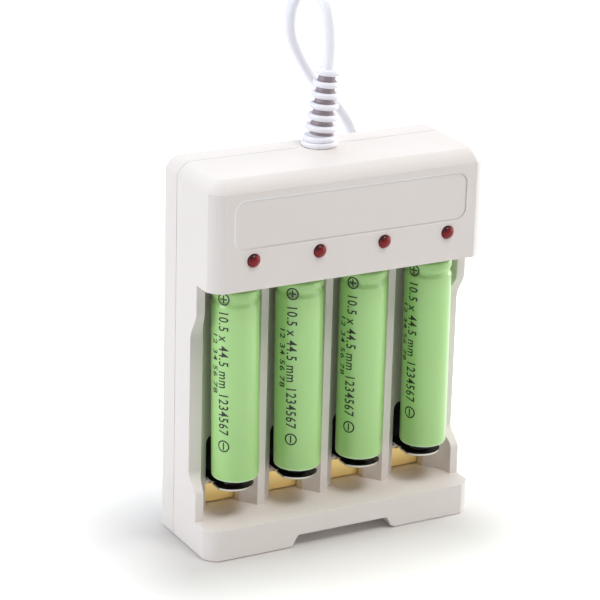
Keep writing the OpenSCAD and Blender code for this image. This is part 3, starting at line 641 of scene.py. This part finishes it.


# Positive contacts and flaps: nickel-plated spring steel, mirror-like where it is flat.
# The flaps' flat upper faces carry painted shade, nearly black, for the shadow and dim
# reflection under the cells, and their edges are bare.
nickel, tree, shader = new_material("nickel_plated_steel", "#B8B4AC", 0.2, 1.0)
mottled(tree, shader, "#AAA69F", "#C6C3BC", 2, 0.16, 0.3, 0.2, 0.1)
for node in ["positive_contact_%d" % i for i in range(1, 5)]:
    paint(finished_copy(node, sharp=30, bevel=0.05), nickel)

plated_or_shaded, tree, shader = new_material("nickel_with_painted_shade", "#B8B4AC", 0.22, 1.0)
tint = mottled(tree, shader, "#AAA69F", "#C6C3BC", 2, 0.18, 0.3, 0.2, 0.1)
# Painted shade on the faces that look up; there the surface is drawn without metal.
facing = add_node(tree, "ShaderNodeNewGeometry").outputs["True Normal"]
facing_up = add_node(tree, "ShaderNodeSeparateXYZ", {"Vector": facing}).outputs["Z"]
least_up = 0.3
level = add_node(tree, "ShaderNodeMath", {0: facing_up, 1: least_up},
                 operation="GREATER_THAN").outputs[0]
painted_shade_mix = add_node(tree, "ShaderNodeMix", {"Factor": level, "A": tint, "B": linear("#16120F")},
                data_type="RGBA")
tree.links.new(painted_shade_mix.outputs["Result"], shader.inputs["Base Color"])
bare = add_node(tree, "ShaderNodeMath", {0: 1.0, 1: level}, operation="SUBTRACT")
tree.links.new(bare.outputs[0], shader.inputs["Metallic"])
for node in ["aaa_flap_%d" % i for i in range(1, 5)]:
    paint(finished_copy(node, sharp=30, bevel=0.06), plated_or_shaded)


# Cells: four AAA cells, a drawn steel can with a rolled bead and a raised nub, in a green
# shrink sleeve printed in black. Each stands on its flap, leaning a little.
cell_r, cell_l, nub_r, nub_h, sleeve_t = 5.25, 44.5, 1.8, 0.6, 0.2
shoulder_z = cell_l - nub_h
bead_z, bead_deep, bead_half = shoulder_z - 2.6, 0.36, 1.1
# For each bay, in millimetres and degrees: how far the cell is from its middle, how far it
# leans, how far its print is turned, and how far the print is let down.
cells = [(0.75, -1.0, 1, 0.0), (0.33, -0.85, 12, 0.9), (0.1, -0.25, 0, 0.85),
         (1.0, -0.7, -11, 0.35)]
cell_y, cell_z, lift = -3.25, 16.3, 1.4


def side_outline(r):
    """Radius and height pairs up a cell's side, over its bead and round its shoulder."""
    points = [(r - 0.55, 0.04), (r - 0.3, 0.12), (r - 0.1, 0.32), (r, 0.7), (r, bead_z - 1.5)]
    for t in range(-6, 7):
        part = 0.5 + 0.5 * math.cos(math.pi * t / 6)
        points.append((r - bead_deep * part, bead_z + bead_half * t / 6))
    return points + [(r, shoulder_z - 0.7), (r - 0.08, shoulder_z - 0.38),
                     (r - 0.28, shoulder_z - 0.12), (r - 0.55, shoulder_z)]


# PVC shrink film: a clear yellowish green with a soft gloss, and a painted highlight on the
# fold at its foot.
film_green, tree, shader = new_material("green_shrink_film", "#A6CF86", 0.3, ior=1.53)
tint = mottled(tree, shader, "#A4D67E", "#B1DE8C", 14, 0.26, 0.34, 0.9, 0.05)
fold = add_node(tree, "ShaderNodeAttribute", attribute_name="fold").outputs["Fac"]
fold_strength = 0.8
fold = add_node(tree, "ShaderNodeMath", {0: fold, 1: fold_strength}, operation="MULTIPLY")
fold_highlight = add_node(tree, "ShaderNodeMix",
                 {"Factor": fold.outputs[0], "A": tint, "B": linear("#E2F8D0")},
                 data_type="RGBA")
tree.links.new(fold_highlight.outputs["Result"], shader.inputs["Base Color"])
shader.inputs["Coat Weight"].default_value = 0.25
shader.inputs["Coat Roughness"].default_value = 0.2
# Nickel-plated steel, drawn to a can, of which only the base, shoulder and nub are bare.
can_steel, tree, shader = new_material("drawn_steel_can", "#BFBDB8", 0.25, 1.0)
mottled(tree, shader, "#B0AEA9", "#CBC9C4", 3, 0.2, 0.32, 0.2, 0.08)
# Black printing ink on the film, matt.
ink, tree, shader = new_material("black_printing_ink", "#1A2416", 0.5, ior=1.5)
mottled(tree, shader, "#151D12", "#222E1D", 1.2, 0.45, 0.6, 0.3, 0.05)


def print_mesh(body, height, length):
    """A line of print as a flat bmesh, in millimetres, along X from the origin."""
    capital_part, bolder, spacing = 0.7, 0.016, 1.12
    data = bpy.data.curves.new("print", "FONT")
    data.body = body
    data.size = height / capital_part
    data.resolution_u = 3
    data.offset = bolder * height
    data.space_character = spacing
    holder = bpy.data.objects.new("print", data)
    bpy.context.scene.collection.objects.link(holder)
    graph = bpy.context.evaluated_depsgraph_get()
    flat = bpy.data.meshes.new_from_object(holder.evaluated_get(graph), depsgraph=graph)
    mesh = bmesh.new()
    mesh.from_mesh(flat)
    bpy.data.objects.remove(holder)
    bpy.data.curves.remove(data)
    bpy.data.meshes.remove(flat)
    wide = length / max(vert.co.x for vert in mesh.verts)
    bmesh.ops.scale(mesh, verts=mesh.verts, vec=(wide, 1, 1))
    bmesh.ops.translate(mesh, verts=mesh.verts, vec=(0, -height / 2, 0))
    return mesh


def add_sign(mesh, at, plus):
    """Adds a ring with a plus or a minus in it to a flat bmesh, this far along X."""
    radius, width, steps = 1.4, 0.32, 24
    inner, outer = ([mesh.verts.new((at + r * math.cos(2 * math.pi * k / steps),
                                     r * math.sin(2 * math.pi * k / steps), 0))
                     for k in range(steps)] for r in (radius - width, radius))
    for k in range(steps):
        n = (k + 1) % steps
        mesh.faces.new((inner[k], outer[k], outer[n], inner[n]))
    arm, half = radius * 0.62, width / 2
    bars = [(arm, half)] + ([(half, arm)] if plus else [])
    for bx, by in bars:
        mesh.faces.new([mesh.verts.new((at + x, y, 0)) for x, y in
                        ((-bx, -by), (bx, -by), (bx, by), (-bx, by))])


def wrap(mesh, top_z, direction):
    """Lays a flat bmesh round a cell, reading downwards, just clear of its sleeve."""
    strip, clear = 0.3, 0.025
    low = min(vert.co.y for vert in mesh.verts)
    high = max(vert.co.y for vert in mesh.verts)
    cut = low + strip
    while cut < high:
        bmesh.ops.bisect_plane(mesh, geom=mesh.verts[:] + mesh.edges[:] + mesh.faces[:],
                               plane_co=(0, cut, 0), plane_no=(0, 1, 0))
        cut += strip
    for vert in mesh.verts:
        angle = math.radians(direction - 90) + vert.co.y / cell_r
        r = cell_r + clear
        vert.co = Vector((r * math.cos(angle), r * math.sin(angle), top_z - vert.co.x)) * mm
    for face in mesh.faces:
        middle = face.calc_center_median()
        if face.normal.dot(Vector((middle.x, middle.y, 0))) < 0:
            face.normal_flip()


can_r = cell_r - sleeve_t
can_profile = [(0, 0.05), (can_r - 1.2, 0.05), *side_outline(can_r),
               (nub_r + 1.4, shoulder_z), (nub_r + 0.3, shoulder_z - 0.1),
               (nub_r + 0.05, shoulder_z + 0.15), (nub_r, cell_l - 0.15),
               (nub_r - 0.15, cell_l), (0, cell_l)]
sleeve_profile = [(cell_r - 1.4, shoulder_z + 0.02), (cell_r - 1.4, shoulder_z + sleeve_t),
                  *side_outline(cell_r)[::-1], (cell_r - 0.7, 0.04), (cell_r - 0.7, 0.2)]
fold_h = 0.35
# Each line of print: its cap height, its length, how high it starts up the cell, and how
# far round it is from the front, in degrees. The large one is between two signs.
large_h, large_l, large_top, large_round = 2.3, 28.6, 42.4, -56.5
small_h, small_l, small_top, small_round = 1.4, 14.0, 34.5, -82
sign_gap = 2.6
for i, (shift, lean, turn, drop) in enumerate(cells, 1):
    cell_x = bay_pitch * (i - 2.5) + shift
    lean = math.radians(lean)
    stand = (Matrix.Translation((cell_x * mm, cell_y * mm,
                                 (cell_z + lift * abs(math.sin(lean))) * mm))
             @ Matrix.Rotation(lean, 4, "Y"))
    can = turned(can_profile, steps=64)
    mark_sharp(can, degrees=40)
    sleeve = turned(sleeve_profile, steps=96)
    mesh_layer = sleeve.verts.layers.float.new("fold")
    for vert in sleeve.verts:
        vert[mesh_layer] = 1.0 if vert.co.z < fold_h * mm else 0.0
    mark_sharp(sleeve, degrees=60)
    large = print_mesh("10.5 x 44.5 mm 1234567", large_h, large_l)
    bmesh.ops.translate(large, verts=large.verts, vec=(sign_gap, 0, 0))
    add_sign(large, 0.0, plus=True)
    add_sign(large, large_l + 2 * sign_gap, plus=False)
    wrap(large, large_top - drop, turn + large_round)
    small = print_mesh("12 34 56 78", small_h, small_l)
    wrap(small, small_top - drop, turn + small_round)
    for name, mesh, material, slot, node, whole in (
            ("cell_can_%d_piece", can, can_steel, "cell_steel", "cell_can_%d", True),
            ("cell_sleeve_%d_piece", sleeve, film_green, "green_sleeve", "cell_sleeve_%d", True),
            ("cell_print_%d", large, ink, "black_plastic", "cell_can_%d", False),
            ("cell_small_print_%d", small, ink, "black_plastic", "cell_can_%d", False)):
        mesh.transform(stand)
        piece = new_piece(name % i, mesh, node % i)
        if whole:
            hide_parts(node % i)
        paint(piece, material)


# Plug: a flat PVC grip moulded on the end of the lead, and a shell of plated steel with two
# square holes in each broad side. The tongue inside the shell is plain white plastic.
for node, bevel, material, slot in (("plug_grip", 0.4, soft_pvc, "lead_sheath"),
                                    ("plug_shell", 0.08, nickel, "nickel"),
                                    ("plug_tongue", 0.1, white_abs, "tongue")):
    paint(finished_copy(node, sharp=30, bevel=bevel), material)


# Floor, backdrop and light: a sheet of white paper and plain white beyond it, under soft
# lamps above and at both sides, so that the top is brightest and the front a soft grey.
floor_half = 4
corners = [(x * floor_half, y * floor_half, 0) for x, y in ((-1, -1), (1, -1), (1, 1), (-1, 1))]
sheet = bpy.data.meshes.new("floor")
sheet.from_pydata(corners, [], [(0, 1, 2, 3)])
floor = bpy.data.objects.new("floor", sheet)
bpy.context.scene.collection.objects.link(floor)


def seen_ray(tree):
    """1 for a ray from the camera, also past a mirror or a clear piece, and 0 for others."""
    path = add_node(tree, "ShaderNodeLightPath").outputs
    seen = path["Is Camera Ray"]
    for kind in ("Is Glossy Ray", "Is Transmission Ray"):
        seen = add_node(tree, "ShaderNodeMath", {0: seen, 1: path[kind]},
                        operation="MAXIMUM").outputs[0]
    return seen


# The sheet lights the charger as plain matt paper does. It is seen as bright as the page,
# with a painted shadow: its glow is dimmer round the foot of the charger, where the soft
# shadow lies.
paper = bpy.data.materials.new("white_paper_sweep")
paper.use_nodes = True
tree = paper.node_tree
tree.nodes.clear()
shadow_middle, shadow_half, shadow_reach = (-0.007, -0.003, 0), (0.03, 0.01, 0), 0.047
darkest, brightest = 0.05, 0.93
place = add_node(tree, "ShaderNodeTexCoord").outputs["Object"]
outside = beyond_box(tree, place, shadow_middle, shadow_half)
brightness = add_node(tree, "ShaderNodeMapRange",
                      {"Value": outside, "From Min": 0.0, "From Max": shadow_reach,
                       "To Min": darkest, "To Max": brightest}).outputs["Result"]
matt = add_node(tree, "ShaderNodeBsdfDiffuse", {"Color": linear("#F2F2F2")})
pale = add_node(tree, "ShaderNodeBsdfDiffuse", {"Color": linear("#D1CDC8")})
white = linear("#FFFFFF")
glow = add_node(tree, "ShaderNodeEmission", {"Color": white, "Strength": brightness})
seen = add_node(tree, "ShaderNodeAddShader", {0: pale.outputs[0], 1: glow.outputs[0]})
chosen = add_node(tree, "ShaderNodeMixShader",
                  {0: seen_ray(tree), 1: matt.outputs[0], 2: seen.outputs[0]})
add_node(tree, "ShaderNodeOutputMaterial", {"Surface": chosen.outputs[0]})
floor.data.materials.append(paper)

world = bpy.data.worlds.new("studio")
bpy.context.scene.world = world
world.use_nodes = True
tree = world.node_tree
tree.nodes.clear()
ambient = add_node(tree, "ShaderNodeBackground", {"Color": white, "Strength": 0.07})
plain = add_node(tree, "ShaderNodeBackground", {"Color": white, "Strength": 1.0})
chosen = add_node(tree, "ShaderNodeMixShader",
                  {0: seen_ray(tree), 1: ambient.outputs[0], 2: plain.outputs[0]})
add_node(tree, "ShaderNodeOutputWorld", {"Surface": chosen.outputs[0]})


def lamp_panel(name, place, target, width, height, watts, tint):
    """A soft rectangular lamp at this place, in metres, facing the target."""
    data = bpy.data.lights.new(name, "AREA")
    data.shape = "RECTANGLE"
    data.size, data.size_y = width, height
    data.energy = watts
    data.color = tint
    panel = bpy.data.objects.new(name, data)
    to = (Vector(target) - Vector(place)).normalized()
    panel.matrix_world = (Matrix.Translation(place)
                          @ to.to_track_quat("-Z", "Y").to_matrix().to_4x4())
    bpy.context.scene.collection.objects.link(panel)


lamp_panel("overhead", (0.0, 0.4, 0.7), (0, 0, 0.05), 0.7, 0.5, 3.1, (0.80, 0.91, 1.03))
lamp_panel("left", (-0.8, 0.1, 0.35), (0, 0, 0.05), 0.5, 0.6, 4.1, (0.91, 0.95, 1.03))
lamp_panel("right", (0.75, -0.45, 0.3), (0, 0, 0.04), 0.4, 0.6, 1.7, (0.985, 0.98, 0.985))
lamp_panel("right_rim", (0.85, 0.1, 0.3), (0, 0, 0.04), 0.4, 0.6, 3.6, (0.96, 0.98, 1.0))
lamp_panel("high_front", (0.15, -0.45, 1.0), (0, 0, 0.04), 0.5, 0.4, 5.9, (0.98, 0.975, 0.99))

bpy.context.scene.view_settings.view_transform = "Standard"
